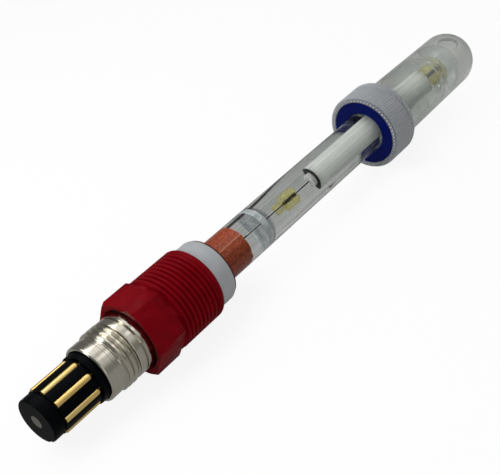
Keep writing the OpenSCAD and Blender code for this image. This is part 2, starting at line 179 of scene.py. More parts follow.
def product(tree, first, *others):
    for other in others:
        first = maths(tree, "MULTIPLY", first, other)
    return first


def split(tree, vector):
    return addNode(tree, "ShaderNodeSeparateXYZ", inputs={0: vector}).outputs


def combine(tree, x=0.0, y=0.0, z=0.0):
    return addNode(tree, "ShaderNodeCombineXYZ", inputs={0: x, 1: y, 2: z}).outputs["Vector"]


def axisParts(tree, place):
    # the coordinates, the part of them across the electrode's axis, and the distance from it
    parts = split(tree, place)
    across = combine(tree, y=parts["Y"], z=parts["Z"])
    length = addNode(tree, "ShaderNodeVectorMath", {"operation": "LENGTH"}, {0: across})
    return parts, across, length.outputs["Value"]


def awayRound(tree, place, shake, wobble, degrees):
    # the angle round the axis between a point and a lengthwise line, which a noise shakes a little
    parts = split(tree, place)
    turn = maths(tree, "ARCTAN2", product(tree, parts["Y"], -1.0), parts["Z"])
    shaken = maths(tree, "MULTIPLY_ADD", shake, wobble, turn)
    return maths(tree, "ABSOLUTE", maths(tree, "SUBTRACT", shaken, math.radians(degrees)))


def mapRange(tree, value, source=(0, 1), target=(0, 1), smooth=False):
    settings = {"interpolation_type": "SMOOTHSTEP" if smooth else "LINEAR"}
    inputs = {"From Min": source[0], "From Max": source[1], "To Min": target[0], "To Max": target[1]}
    return addNode(tree, "ShaderNodeMapRange", settings, inputs | {"Value": value}).outputs["Result"]


def mix(tree, kind, factor, first, second):
    # the node keeps a pair of sockets and an output for each kind of data
    a, b, result = {"FLOAT": (2, 3, 0), "RGBA": (6, 7, 2)}[kind]
    return addNode(tree, "ShaderNodeMix", {"data_type": kind}, {0: factor, a: first, b: second}).outputs[result]


def noise(tree, place, scale, detail, roughness=0.5):
    inputs = {"Vector": place, "Scale": scale, "Detail": detail, "Roughness": roughness}
    return addNode(tree, "ShaderNodeTexNoise", inputs=inputs).outputs["Fac"]


def stretch(tree, place, along, across):
    # a scale of its own along the electrode's axis
    inputs = {"Vector": place, "Scale": (along, across, across)}
    return addNode(tree, "ShaderNodeMapping", inputs=inputs).outputs["Vector"]


def turnedLines(tree, place, scale):
    # noise that is the same all the way round the axis, as the marks of a lathe tool are
    parts, _, radius = axisParts(tree, place)
    return noise(tree, combine(tree, parts["X"], radius), scale, 2.0)


def newMaterial(name, values):
    material = bpy.data.materials.new(name)
    material.use_nodes = True
    tree = material.node_tree
    shader = tree.nodes["Principled BSDF"]
    setInputs(tree, shader, values)
    return material, tree, shader, addNode(tree, "ShaderNodeTexCoord").outputs["Object"]


def twoColours(tree, factor, low, high, start=0.3, end=0.7):
    ramp = addNode(tree, "ShaderNodeValToRGB", inputs={"Fac": factor})
    for element, position, code in zip(ramp.color_ramp.elements, (start, end), (low, high)):
        element.position = position
        element.color = hexColour(code)
    return ramp.outputs["Color"]


def dress(tree, shader, colour, normal):
    setInputs(tree, shader, {"Base Color": colour, "Normal": normal})


def bumpOf(tree, height, strength, distance):
    inputs = {"Strength": strength, "Distance": distance, "Height": height}
    return addNode(tree, "ShaderNodeBump", inputs=inputs).outputs["Normal"]


def showMix(tree, factor, first, second):
    mixed = addNode(tree, "ShaderNodeMixShader", inputs={0: factor, 1: first, 2: second})
    setInputs(tree, tree.nodes["Material Output"], {"Surface": mixed.outputs["Shader"]})


def letLampsThrough(tree, shader, tint):
    # lamps reach what lies inside clear glass; each surface takes a little of their light
    path = addNode(tree, "ShaderNodeLightPath")
    clear = addNode(tree, "ShaderNodeBsdfTransparent", inputs={"Color": hexColour(tint)})
    showMix(tree, path.outputs["Is Shadow Ray"], shader.outputs["BSDF"], clear.outputs["BSDF"])


# Small tools for Geometry Nodes


def newTree(name, sizes, counts):
    tree = bpy.data.node_groups.new(name, "GeometryNodeTree")
    for direction in ("INPUT", "OUTPUT"):
        tree.interface.new_socket("Geometry", in_out=direction, socket_type="NodeSocketGeometry")
    for kind, labels in (("NodeSocketFloat", sizes), ("NodeSocketInt", counts), ("NodeSocketMaterial", ["Finish"])):
        for label in labels:
            tree.interface.new_socket(label, in_out="INPUT", socket_type=kind)
    return tree, addNode(tree, "NodeGroupInput").outputs


def endTree(tree, geometry, finish):
    real = addNode(tree, "GeometryNodeRealizeInstances", inputs={"Geometry": geometry}).outputs["Geometry"]
    dressed = addNode(tree, "GeometryNodeSetMaterial", inputs={"Geometry": real, "Material": finish})
    addNode(tree, "NodeGroupOutput", inputs={0: dressed.outputs["Geometry"]})


def bakeTree(piece, tree, values):
    # sets the tree's named inputs, keeps the mesh that it makes and takes the modifier off again
    modifier = piece.modifiers.new(tree.name, "NODES")
    modifier.node_group = tree
    for item in tree.interface.items_tree:
        if item.item_type == "SOCKET" and item.in_out == "INPUT" and item.name in values:
            modifier[item.identifier] = values[item.name]
    graph = bpy.context.evaluated_depsgraph_get()
    mesh = bpy.data.meshes.new_from_object(piece.evaluated_get(graph), depsgraph=graph)
    piece.modifiers.remove(modifier)
    piece.data = mesh
    return piece


def helixTree():
    # a sleeve with one thread ridge running round it: its rows of points follow the helix, its ends are
    # cut square, and its first row and its last two lie on the bore
    sizes = ["Start", "End", "Bore Radius", "Root Radius", "Crest Radius", "Pitch", "Crest Width", "Root Width", "Fade"]
    tree, given = newTree("helicalThread", sizes, ["Rows", "Sides", "Rows Per Turn"])
    start, end, pitch, root = (given[label] for label in ("Start", "End", "Pitch", "Root Radius"))
    columns = maths(tree, "ADD", given["Sides"], 1.0)
    size = {"Size X": 1.0, "Size Y": 1.0, "Vertices X": given["Rows"], "Vertices Y": columns}
    grid = addNode(tree, "GeometryNodeMeshGrid", inputs=size).outputs["Mesh"]
    parts = split(tree, addNode(tree, "GeometryNodeInputPosition").outputs["Position"])
    lastRow = maths(tree, "SUBTRACT", given["Rows"], 1.0)
    row = product(tree, maths(tree, "ADD", parts["X"], 0.5), lastRow)
    turn = maths(tree, "ADD", parts["Y"], 0.5)
    wholeTurns = maths(tree, "DIVIDE", maths(tree, "SUBTRACT", row, 1.0), given["Rows Per Turn"])
    turnsUp = maths(tree, "ADD", wholeTurns, maths(tree, "SUBTRACT", turn, 1.0))
    free = maths(tree, "MULTIPLY_ADD", turnsUp, pitch, start)
    station = maths(tree, "MINIMUM", maths(tree, "MAXIMUM", free, start), end)
    fromStart = maths(tree, "SUBTRACT", station, start)
    lag = maths(tree, "SUBTRACT", maths(tree, "DIVIDE", fromStart, pitch), turn)
    phase = maths(tree, "FRACT", maths(tree, "ADD", lag, 4.0))
    off = product(tree, maths(tree, "ABSOLUTE", maths(tree, "SUBTRACT", phase, 0.5)), pitch)
    foot = product(tree, maths(tree, "SUBTRACT", pitch, given["Root Width"]), 0.5)
    flank = maths(tree, "SUBTRACT", foot, product(tree, given["Crest Width"], 0.5))
    height = maths(tree, "DIVIDE", maths(tree, "SUBTRACT", foot, off), flank, clamp=True)
    rise = maths(tree, "DIVIDE", fromStart, given["Fade"], clamp=True)
    fall = maths(tree, "DIVIDE", maths(tree, "SUBTRACT", end, station), given["Fade"], clamp=True)
    ridge = product(tree, rise, fall, height)
    outer = maths(tree, "MULTIPLY_ADD", ridge, maths(tree, "SUBTRACT", given["Crest Radius"], root), root)
    last = maths(tree, "GREATER_THAN", row, maths(tree, "SUBTRACT", lastRow, 1.5))
    inside = maths(tree, "MAXIMUM", maths(tree, "LESS_THAN", row, 0.5), last)
    radius = maths(tree, "MULTIPLY_ADD", inside, maths(tree, "SUBTRACT", given["Bore Radius"], outer), outer)
    back = maths(tree, "GREATER_THAN", row, maths(tree, "SUBTRACT", lastRow, 0.5))
    closed = maths(tree, "MULTIPLY_ADD", back, maths(tree, "SUBTRACT", start, station), station)
    angle = product(tree, turn, math.tau)
    y, z = (product(tree, radius, maths(tree, wave, angle)) for wave in ("COSINE", "SINE"))
    spots = {"Geometry": grid, "Position": combine(tree, closed, y, z)}
    wound = addNode(tree, "GeometryNodeSetPosition", inputs=spots).outputs["Geometry"]
    sewn = addNode(tree, "GeometryNodeMergeByDistance", inputs={"Geometry": wound, "Distance": 2e-6})
    endTree(tree, sewn.outputs["Geometry"], given["Finish"])
    return tree


def ribTree():
    # raises ribs on the widest band of a turned piece, and small teeth on a ring of its front face
    sizes = ["Rib Height", "Rib Radius", "Front", "Tooth Height", "Tooth From", "Tooth To"]
    tree, given = newTree("ribbedRim", sizes, ["Rib Count", "Tooth Count"])
    parts, across, radius = axisParts(tree, addNode(tree, "GeometryNodeInputPosition").outputs["Position"])
    outwards = addNode(tree, "ShaderNodeVectorMath", {"operation": "NORMALIZE"}, {0: across}).outputs["Vector"]
    angle = maths(tree, "ARCTAN2", parts["Z"], parts["Y"])
    ribWave = maths(tree, "COSINE", product(tree, angle, given["Rib Count"]))
    ribs = maths(tree, "MULTIPLY_ADD", ribWave, 0.5, 0.5)
    wide = maths(tree, "GREATER_THAN", radius, given["Rib Radius"])
    height = product(tree, ribs, wide, given["Rib Height"])
    push = addNode(tree, "ShaderNodeVectorMath", {"operation": "SCALE"}, {0: outwards, "Scale": height})
    toothWave = maths(tree, "COSINE", product(tree, angle, given["Tooth Count"]))
    teeth = maths(tree, "GREATER_THAN", toothWave, 0.0)
    beyond = maths(tree, "GREATER_THAN", radius, given["Tooth From"])
    ring = product(tree, beyond, maths(tree, "LESS_THAN", radius, given["Tooth To"]))
    face = maths(tree, "LESS_THAN", parts["X"], given["Front"])
    sunk = product(tree, face, ring, teeth, given["Tooth Height"])
    moves = {0: push.outputs["Vector"], 1: combine(tree, sunk)}
    shift = addNode(tree, "ShaderNodeVectorMath", {"operation": "ADD"}, moves).outputs["Vector"]
    ribbed = addNode(tree, "GeometryNodeSetPosition", inputs={"Geometry": given["Geometry"], "Offset": shift})
    endTree(tree, ribbed.outputs["Geometry"], given["Finish"])
    return tree


# Materials

shield = {
    "start": -15.0,
    "end": 11.0,
    "radius": 5.02,  # it sits in the glass by a hair, as foil that is cemented to it does
    "thickness": 0.12,
    "lap": 0.16,
    "tuck": 0.12,
    "seamAngle": 32.0,
    "waviness": 0.16,
    "edgeInset": 0.2,
    "ripples": 9,
    "steps": 160,
    "rows": 60,
}

nut = {
    "front": 71.9,
    "back": 82.3,
    "radius": 11.47,
    "mouth": 10.05,
    "bore": 10.7,
    "lip": 1.5,
    "edge": 0.9,
    "lipEdge": 0.7,
    "line": 2.2,
    "ribs": 96,
    "ribHeight": 0.17,
    "teeth": 60,
    "toothHeight": 0.22,
    "toothBand": (0.25, 0.85),
    "rings": (
        # from radius, to radius, strength, colour: painted glints on the teeth, then the painted blue line of the seal;
        # both are broken into teeth
        (10.3, 10.8, 1.0, "#FAFBFC"),
        (10.8, 11.3, 0.75, "#27346E"),
    ),
}

electrolyteIndex = 1.36


def mouldedPbt():
    # glass-filled PBT, injection moulded: near black with a fine satin skin
    values = {"Roughness": 0.42, "IOR": 1.5, "Specular IOR Level": 0.04}
    material, tree, shader, place = newMaterial("mouldedPbt", values)
    colour = twoColours(tree, noise(tree, place, 420.0, 2.0), "#010204", "#040609")
    normal = bumpOf(tree, noise(tree, place, 5200.0, 3.0), 0.35, 0.00003)
    dress(tree, shader, colour, normal)
    return material


def goldFlash():
    # thin gold over nickel on drawn wire: warm, with lengthwise drawing lines
    material, tree, shader, place = newMaterial("goldFlash", {"Metallic": 1.0, "Roughness": 0.36})
    lines = noise(tree, stretch(tree, place, 60.0, 2600.0), 1.0, 3.0)
    colour = twoColours(tree, lines, "#E3BB62", "#FCE19A")
    dress(tree, shader, colour, bumpOf(tree, lines, 0.25, 0.00002))
    return material


def turnedNickel(name, low, high, roughness, lineStrength):
    # bright nickel over turned brass: fine rings round the axis from the lathe tool
    material, tree, shader, place = newMaterial(name, {"Metallic": 1.0, "Roughness": roughness})
    fine = turnedLines(tree, place, 9000.0)
    polish = mapRange(tree, noise(tree, place, 160.0, 2.0), target=(roughness - 0.02, roughness + 0.02))
    normal = bumpOf(tree, fine, lineStrength, 0.00002)
    setInputs(tree, shader, {"Roughness": polish})
    dress(tree, shader, twoColours(tree, fine, low, high), normal)
    return material


def rubber(name, low, high, roughness, gloss=0.5):
    # moulded elastomer, baked enamel or dark glaze: faintly mottled
    values = {"Roughness": roughness, "IOR": 1.5, "Specular IOR Level": gloss}
    material, tree, shader, place = newMaterial(name, values)
    mottle = noise(tree, place, 900.0, 4.0)
    normal = bumpOf(tree, mottle, 0.2, 0.00004)
    dress(tree, shader, twoColours(tree, mottle, low, high), normal)
    return material


def crimsonPps():
    # coloured PPS, moulded and turned: deep crimson, satin, with a faint tool pattern
    values = {"Roughness": 0.44, "IOR": 1.5, "Specular IOR Level": 0.045}
    material, tree, shader, place = newMaterial("crimsonPps", values)
    cloud = noise(tree, place, 260.0, 5.0, 0.6)
    colour = twoColours(tree, cloud, "#6E000B", "#80000F")
    wear = mapRange(tree, cloud, target=(0.38, 0.52))
    normal = bumpOf(tree, noise(tree, place, 6000.0, 2.0), 0.25, 0.00003)
    setInputs(tree, shader, {"Roughness": wear})
    dress(tree, shader, colour, normal)
    return material


def whitePvdf():
    # natural PVDF, turned: milky grey-white that light enters a little, soft gloss
    values = {"Roughness": 0.42, "IOR": 1.42}
    values |= {"Subsurface Weight": 0.6, "Subsurface Scale": 0.003, "Subsurface Radius": (1.0, 1.0, 1.0)}
    material, tree, shader, place = newMaterial("whitePvdf", values)
    colour = twoColours(tree, noise(tree, place, 200.0, 3.0), "#A6A9AC", "#B2B5B8")
    normal = bumpOf(tree, turnedLines(tree, place, 5000.0), 0.12, 0.00003)
    dress(tree, shader, colour, normal)
    return material


def copperWrap():
    # copper foil rolled into the glass: tarnished brick red, drawn out of square so that it is
    # scuffed along its length, with bright scratches and a bright line where its seam was run
    material, tree, shader, place = newMaterial("copperWrap", {"Roughness": 0.6, "Specular IOR Level": 0.15})
    patch = noise(tree, place, 1500.0, 8.0, 0.75)
    tarnish = twoColours(tree, patch, "#75260F", "#D4683E", 0.33, 0.7)
    away = awayRound(tree, place, noise(tree, place, 900.0, 4.0), 0.09, shield["seamAngle"] + 4)
    seam = mapRange(tree, away, (0.01, 0.05), (0.6, 0.0))
    scuff = noise(tree, stretch(tree, place, 420.0, 3600.0), 1.0, 5.0, 0.75)
    scratch = mapRange(tree, scuff, (0.6, 0.74), (0.0, 0.55))
    colour = mix(tree, "RGBA", maths(tree, "MAXIMUM", seam, scratch), tarnish, hexColour("#DDA88C"))
    dress(tree, shader, colour, bumpOf(tree, patch, 0.6, 0.0001))
    return material


def blownGlass(name, low, high, ior, wave, mirror=1.0):
    # drawn or blown borosilicate: clear, with long waves and fine grey cords from the drawing
    values = {"Transmission Weight": 1.0, "IOR": ior, "Roughness": 0.0, "Specular Tint": (mirror, mirror, mirror, 1)}
    material, tree, shader, place = newMaterial(name, values)
    draw = noise(tree, stretch(tree, place, 10.0, 520.0), 1.0, 2.0)
    cords = noise(tree, stretch(tree, place, 7.0, 900.0), 1.0, 3.0, 0.6)
    colour = twoColours(tree, cords, low, high, 0.34, 0.54)
    dress(tree, shader, colour, bumpOf(tree, draw, wave, 0.0001))
    letLampsThrough(tree, shader, "#F9FAF9")
    return material


def domedGlass():
    # the same glass worked twice in the flame: clear at the crown, milky blue-grey where it is fused to
    # the wall; it has electrolyte on both sides, so its index is against that
    values = {"IOR": 1.4 / electrolyteIndex, "Roughness": 0.0}
    material, tree, shader, place = newMaterial("workedDomeGlass", values)
    _, _, radius = axisParts(tree, place)
    clear = mapRange(tree, radius, (0.0049, 0.00504), (1.0, 0.4), smooth=True)
    colour = twoColours(tree, noise(tree, place, 700.0, 4.0), "#B4BBC0", "#F4F6F7")
    setInputs(tree, shader, {"Base Color": colour, "Transmission Weight": clear})
    letLampsThrough(tree, shader, "#F0F2F4")
    return material


def liquid(name, colour, ior):
    # potassium chloride in water: clear, and glass against it mirrors almost nothing
    values = {"Base Color": hexColour(colour), "Transmission Weight": 1.0, "IOR": ior, "Roughness": 0.0}
    material, tree, shader, _ = newMaterial(name, values | {"Specular Tint": (0.05, 0.05, 0.05, 1)})
    letLampsThrough(tree, shader, "#FDFDFD")
    return material


def yellowSalt(name, thin, thick):
    # silver salt packed in a glass capillary: light yellow, grainy, split along the wire so that it shows
    values = {"Roughness": 0.15, "IOR": 1.08, "Transmission Weight": 0.5}
    material, tree, shader, place = newMaterial(name, values)
    crystals = {"Scale": 1.3, "Vector": stretch(tree, place, 500.0, 1500.0)}
    grains = addNode(tree, "ShaderNodeTexVoronoi", inputs=crystals).outputs["Distance"]
    cloud = noise(tree, place, 700.0, 4.0)
    both = maths(tree, "MULTIPLY_ADD", grains, 0.5, cloud)
    colour = twoColours(tree, both, "#A89A18", "#E6DC5C", 0.4, 0.95)
    gaps = mapRange(tree, cloud, (0.35, 0.65), (thin, thick))
    opened = mapRange(tree, awayRound(tree, place, cloud, 0.3, 60), (0.17, 0.21))
    normal = bumpOf(tree, grains, 0.4, 0.0001)
    setInputs(tree, shader, {"Alpha": product(tree, gaps, opened)})
    dress(tree, shader, colour, normal)
    letLampsThrough(tree, shader, "#CFC98C")
    return material


def darkCoat():
    # silver chloride on silver, darkened by light
    material, tree, shader, place = newMaterial("darkCoat", {"Roughness": 0.6, "Specular IOR Level": 0.05})
    crust = noise(tree, place, 4000.0, 4.0)
    colour = twoColours(tree, crust, "#040406", "#101015")
    dress(tree, shader, colour, bumpOf(tree, crust, 0.6, 0.00005))
    return material


def warmPtfe(name, low, high):
    # sintered PTFE or ground ceramic: whitish, soft, light spreads in it
    values = {"Roughness": 0.5, "IOR": 1.38, "Specular IOR Level": 0.02}
    values |= {"Subsurface Weight": 0.95, "Subsurface Scale": 0.014, "Subsurface Radius": (1.0, 1.0, 0.97)}
    material, tree, shader, place = newMaterial(name, values)
    lines = noise(tree, stretch(tree, place, 120.0, 1500.0), 1.0, 3.0)
    normal = bumpOf(tree, lines, 0.2, 0.00003)
    dress(tree, shader, twoColours(tree, lines, low, high), normal)
    return material


def castResin():
    # filled epoxy, poured in to close the head: brown, cloudy, glossy where it levelled itself
    material, tree, shader, place = newMaterial("castResin", {"Roughness": 0.25, "IOR": 1.55})
    colour = twoColours(tree, noise(tree, place, 300.0, 4.0), "#3A2C22", "#5C4838")
    setInputs(tree, shader, {"Base Color": colour})
    return material


def frostedNut():
    # moulded clear plastic with a spark-eroded skin: light gets through but no picture does;
    # its front face has a ring of teeth with painted glints on them, and round them a painted blue line where the seal
    # would show through; both are strongest on the side towards the camera
    values = {"Transmission Weight": 0.3, "IOR": 1.49, "Roughness": 0.55, "Specular IOR Level": 0.15}
    values |= {"Subsurface Weight": 0.8, "Subsurface Scale": 0.006, "Subsurface Radius": (1.0, 1.0, 1.0)}
    material, tree, shader, place = newMaterial("frostedNut", values)
    skin = noise(tree, place, 2600.0, 3.0)
    parts, _, radius = axisParts(tree, place)
    angle = maths(tree, "ARCTAN2", parts["Z"], parts["Y"])
    wave = maths(tree, "COSINE", product(tree, angle, float(nut["teeth"])))
    face = ((nut["front"] + 0.3) * mm, (nut["front"] + 0.6) * mm)
    front = mapRange(tree, parts["X"], face, (1.0, 0.0))
    # the painted glints and the painted blue line fade away from the side that faces the camera
    side = maths(tree, "MULTIPLY_ADD", parts["Y"], -0.77, product(tree, parts["Z"], 0.64))
    towardsCamera = mapRange(tree, maths(tree, "DIVIDE", side, radius), (0.3, 0.85), (0.12, 1.0), smooth=True)
    paintedMarkArea = product(tree, front, towardsCamera)
    paint = twoColours(tree, skin, "#8D9296", "#9DA2A6")
    for start, end, strength, colour in nut["rings"]:
        inner = maths(tree, "GREATER_THAN", radius, start * mm)
        outer = maths(tree, "LESS_THAN", radius, end * mm)
        level = mapRange(tree, wave, (-0.4, 0.4), (0.0, strength))
        share = product(tree, inner, outer, level, paintedMarkArea)
        paint = mix(tree, "RGBA", share, paint, hexColour(colour))
    dress(tree, shader, paint, bumpOf(tree, skin, 0.5, 0.00006))
    return material


def clearBottle():
    # blow-moulded clear plastic: slightly uneven wall, faint haze
    values = {"Transmission Weight": 0.94, "IOR": 1.49, "Roughness": 0.04, "Specular IOR Level": 0.25}
    material, tree, shader, place = newMaterial("clearBottle", values)
    normal = bumpOf(tree, noise(tree, place, 160.0, 2.0), 0.2, 0.0002)
    colour = twoColours(tree, noise(tree, place, 130.0, 2.0), "#E6EAE9", "#F4F5F2", 0.35, 0.6)
    dress(tree, shader, colour, normal)
    letLampsThrough(tree, shader, "#F4F5F5")
    return material


nickel = turnedNickel("brightNickel", "#B8B3A5", "#D3CEC0", 0.15, 0.2)
dullNickel = turnedNickel("dullNickel", "#76746C", "#8E8C84", 0.45, 0.2)
black = mouldedPbt()
gold = goldFlash()
nitrile = rubber("nitrileBlack", "#020303", "#08090A", 0.6, 0.15)
darkRed = rubber("redFibreSeal", "#3C0D0A", "#5A1814", 0.6, 0.3)
blue = rubber("blueSilicone", "#000B50", "#01125F", 0.4, 0.08)
crimson = crimsonPps()
white = whitePvdf()
copper = copperWrap()
# the shaft is wet inside and mirrors little; the stem stands in the electrolyte
shaftGlass = blownGlass("drawnShaftGlass", "#DDE4E1", "#FFFFFF", 1.474, 0.6, 0.3)
stemGlass = blownGlass("drawnStemGlass", "#F1F4F3", "#FFFFFF", 1.372 / electrolyteIndex, 0.05)
domeGlass = domedGlass()
bulbGlass = blownGlass("membraneGlass", "#EEF2F4", "#FCFDFD", 1.52, 0.1)
electrolyteFill = liquid("electrolyteFill", "#FDFDFB", electrolyteIndex)
storageFill = liquid("storageFill", "#FEFEFD", 1.34)
salt = yellowSalt("yellowSalt", 0.28, 0.6)
denseSalt = yellowSalt("denseYellowSalt", 0.55, 0.85)
coat = darkCoat()
ptfe = warmPtfe("warmPtfe", "#D0D1CB", "#D8D9D4")
ceramic = warmPtfe("groundCeramic", "#D8D4C8", "#EAE7DE")
enamel = rubber("darkEnamel", "#17130F", "#2C241E", 0.35, 0.4)
resin = castResin()
beadGlass = rubber("glazedBead", "#1E2126", "#30343A", 0.2)
frosted = frostedNut()
bottlePlastic = clearBottle()
print("materials made")

nodeMaterials = {
    "connector_plug": black,
    "centre_contact": dullNickel,
    "connector_shell": nickel,
    "shell_seal": nitrile,
    "gland_body": crimson,
    "head_potting": resin,
    "thrust_ring": white,
    "seal_washer": darkRed,
    "reference_cartridge": salt,
    "reference_wire": coat,
    "insulating_sleeve": ptfe,
    "sleeve_ring": nitrile,
    "measuring_cartridge": denseSalt,
    "measuring_wire": coat,
    "temperature_bead": beadGlass,
    "sensor_lead_1": enamel,
    "sensor_lead_2": enamel,
    "cap_seal": blue,
    "cap_nut": frosted,
}
for name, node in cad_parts.items():
    family = {"contact": gold, "junction": ceramic}.get(name.split("_")[0])
    material = family or nodeMaterials.get(name)
    if material:
        node.data.materials.clear()
        node.data.materials.append(material)

# Glass shaft, drawn in to a round shoulder that closes on the stem

shaft = {
    "outer": 6.0,
    "bore": 5.0,
    "top": -19.2,
    "throat": 105.46,
    "throatRadius": 2.6,
    "stemOuter": 3.2,
    "stemBore": 2.5,
    "stemTop": 48.0,
    "stemEnd": 111.158,
    "bulbCentre": 115.0,
    "bulbOuter": 5.0,
    "bulbWall": 0.5,
    "bulbMouth": 2.343,
    "glueGap": 0.03,
}


def shoulder(size, start, end):
    middle = shaft["outer"] - shaft["throatRadius"]
    return arc(shaft["throat"], middle, size, start, end, 16)


def makeShaft():
    wall = shaft["outer"] - shaft["bore"]
    closing = shaft["throat"] + shaft["throatRadius"]
    seat = shaft["stemOuter"] + shaft["glueGap"]
    outside = [(shaft["top"], shaft["bore"]), (shaft["top"], shaft["outer"]), (shaft["throat"], shaft["outer"])]
    outline = fill(outside, 4) + shoulder(shaft["throatRadius"], 0, 90)
    outline += [(closing, seat), (closing - wall, seat)]
    outline += shoulder(shaft["throatRadius"] - wall, 90, 0)
    outline += fill([(shaft["throat"], shaft["bore"]), (shaft["top"] + 0.5, shaft["bore"])], 4)
    return lathe("glassShaft", outline)


def makeStem():
    # its open mouth is polished in the flame, so that the bore flares to a thin round edge
    a, b = shaft["stemTop"], shaft["stemEnd"]
    outer, bore = shaft["stemOuter"], shaft["stemBore"]
    flare, lip, steps = 0.5, 0.06, 8
    shares = [i / steps for i in range(steps + 1)]
    mouth = [(a + flare * s, outer - lip - (outer - lip - bore) * (3 - 2 * s) * s**2) for s in shares]
    outline = mouth[::-1] + [(a - lip, outer - lip / 2), (a, outer)]
    return lathe("innerStem", outline + fill([(a, outer), (b, outer), (b, bore), (a + flare, bore)], 4)[1:-1])


def bulbArc(radius, opening):
    angle = math.degrees(math.acos(min(1, opening / radius)))
    return arc(shaft["bulbCentre"], 0, radius, -angle, 90, 24)


def makeBulb():
    tip = shaft["bulbCentre"] + shaft["bulbOuter"]
    outer = bulbArc(shaft["bulbOuter"], shaft["stemOuter"])
    inner = bulbArc(shaft["bulbOuter"] - shaft["bulbWall"], shaft["bulbMouth"])
    return lathe("membraneBulb", outer[:-1] + [(tip, 0), (tip - shaft["bulbWall"], 0)] + inner[::-1][1:])


finishPiece(makeShaft(), shaftGlass, "electrode", "clear_glass", "glass_shaft")
finishPiece(makeStem(), stemGlass, "electrode", "stem_glass", "inner_stem")
finishPiece(makeBulb(), bulbGlass, "electrode", "membrane_glass", "membrane_bulb")
print("shaft, stem and bulb made")

# Domed partition between the dry head and the electrolyte

dome = {"centre": 17.9, "radius": 5.4, "wall": 0.7, "rim": 5.05}


def makeDome():
    # its rim runs out into the wall of the tube, so that no step shows there
    steps = 24
    reach = dome["radius"] - dome["wall"]
    angle = math.degrees(math.acos(dome["rim"] / dome["radius"]))
    outline = arc(dome["centre"], 0, dome["radius"], angle, 90, steps)[:-1]
    outline += [(dome["centre"] + dome["radius"], 0), (dome["centre"] + reach, 0)]
    turns = [math.radians(90 - 90 * i / steps) for i in range(1, steps + 1)]
    outline += [(dome["centre"] + reach * math.sin(a), dome["rim"] * math.cos(a)) for a in turns]
    return lathe("domedPartition", outline)


finishPiece(makeDome(), domeGlass, "electrode", "partition_glass", "glass_partition")

# Electrolyte: fills the tube, the stem and the bulb, and bites a little into the glass round it;
# the clear gel behind the partition bends light as it does, so that one body stands for both

bite = 0.05
fillStart = -14.0


def makeElectrolyte():
    bore = shaft["bore"] + bite
    mouth = shaft["stemOuter"] - bite
    roundSize = shaft["throatRadius"] - (shaft["outer"] - shaft["bore"]) + bite
    inside = shaft["bulbOuter"] - shaft["bulbWall"] + bite
    outline = [(fillStart, 0)] + fill([(fillStart, bore), (shaft["throat"], bore)], 4)
    outline += shoulder(roundSize, 0, 90)
    outline += fill([(shaft["throat"] + roundSize, mouth), (shaft["stemEnd"] + 0.3, mouth)], 2)
    outline += bulbArc(inside, mouth)[1:-1] + [(shaft["bulbCentre"] + inside, 0)]
    return lathe("electrolyte", outline, closed=False)


finishPiece(makeElectrolyte(), electrolyteFill, "electrode", "clear_glass")
print("partition and electrolyte made")

# Salt cartridges, and the two leads that run to the temperature bead

cartridges = {
    "reference_cartridge": (
        [(26.25, 0), (26.25, 0.5), (26.6, 0.95), (26.9, 1.05), (30.0, 1.05)]
        + [(30.15, 1.5), (30.35, 1.65), (35.5, 1.65), (35.65, 1.5), (35.65, 0)]
    ),
    "measuring_cartridge": [(103.16, 0), (103.16, 2.0), (103.26, 2.1), (112.3, 2.1), (113.16, 1.3), (113.16, 0)],
}

leads = {
    "radius": 0.22,
    "wall": 4.7,
    "startAngle": -15.0,
    "wallAngle": -40.0,
    "wallStart": 20.0,
    "wallEnd": 42.0,
    "endAngle": -130.0,
    "spread": 3.4,
    "tails": {"sensor_lead_1": 1, "sensor_lead_2": -1},
    "tailEnd": -25.0,
    "turnStart": 64.0,
    "turnEnd": 78.0,
    "bead": 95.94,
    "stations": 90,
}


def between(x, start, end):
    # 0 before start, 1 after end, and smooth in between
    share = min(1, max(0, (x - start) / (end - start)))
    return share * share * (3 - 2 * share)


def makeLead(side):
    # follows the wall, and turns to the far side only where the nut hides it
    n = leads
    points, faces, ringSize = [], [], 10
    for i in range(n["stations"] + 1):
        x = n["tailEnd"] + (n["bead"] - n["tailEnd"]) * i / n["stations"]
        drift = between(x, n["wallStart"], n["wallEnd"]) * (n["wallAngle"] - n["startAngle"])
        turn = between(x, n["turnStart"], n["turnEnd"]) * (n["endAngle"] - n["wallAngle"])
        angle = math.radians(n["startAngle"] + drift + turn - side * n["spread"])
        y, z = -n["wall"] * math.sin(angle), n["wall"] * math.cos(angle)
        for k in range(ringSize):
            around = math.tau * k / ringSize
            points.append((x, y + n["radius"] * math.cos(around), z + n["radius"] * math.sin(around)))
    for i in range(n["stations"]):
        for k in range(ringSize):
            a, b = i * ringSize + k, i * ringSize + (k + 1) % ringSize
            faces.append((a, b, b + ringSize, a + ringSize))
    faces += [tuple(range(ringSize)), tuple(range(len(points) - ringSize, len(points)))]
    return closeShape(newPiece("sensorLead", points, faces), 50)


for name, outline in cartridges.items():
    cartridge = lathe("saltCartridge", outline, sides=64, closed=False, sharp=40)
    finishPiece(cartridge, nodeMaterials[name], "electrode", "yellow_salt", name)
for name, side in leads["tails"].items():
    finishPiece(makeLead(side), enamel, "electrode", "lead_enamel", name)
print("cartridges and leads made")

# Screw-in head, shell and nut: the threads as true helices, the ribs of the nut

head = {
    "cut": -20.7,
    "threadEnd": -7.6,
    "face": -6.0,
    "root": 9.32,
    "crest": 10.2,
    "bore": 6.03,
    "pitch": 1.411,
    "crestWidth": 0.5,
    "rootWidth": 0.08,
    "chamfer": 0.9,
}

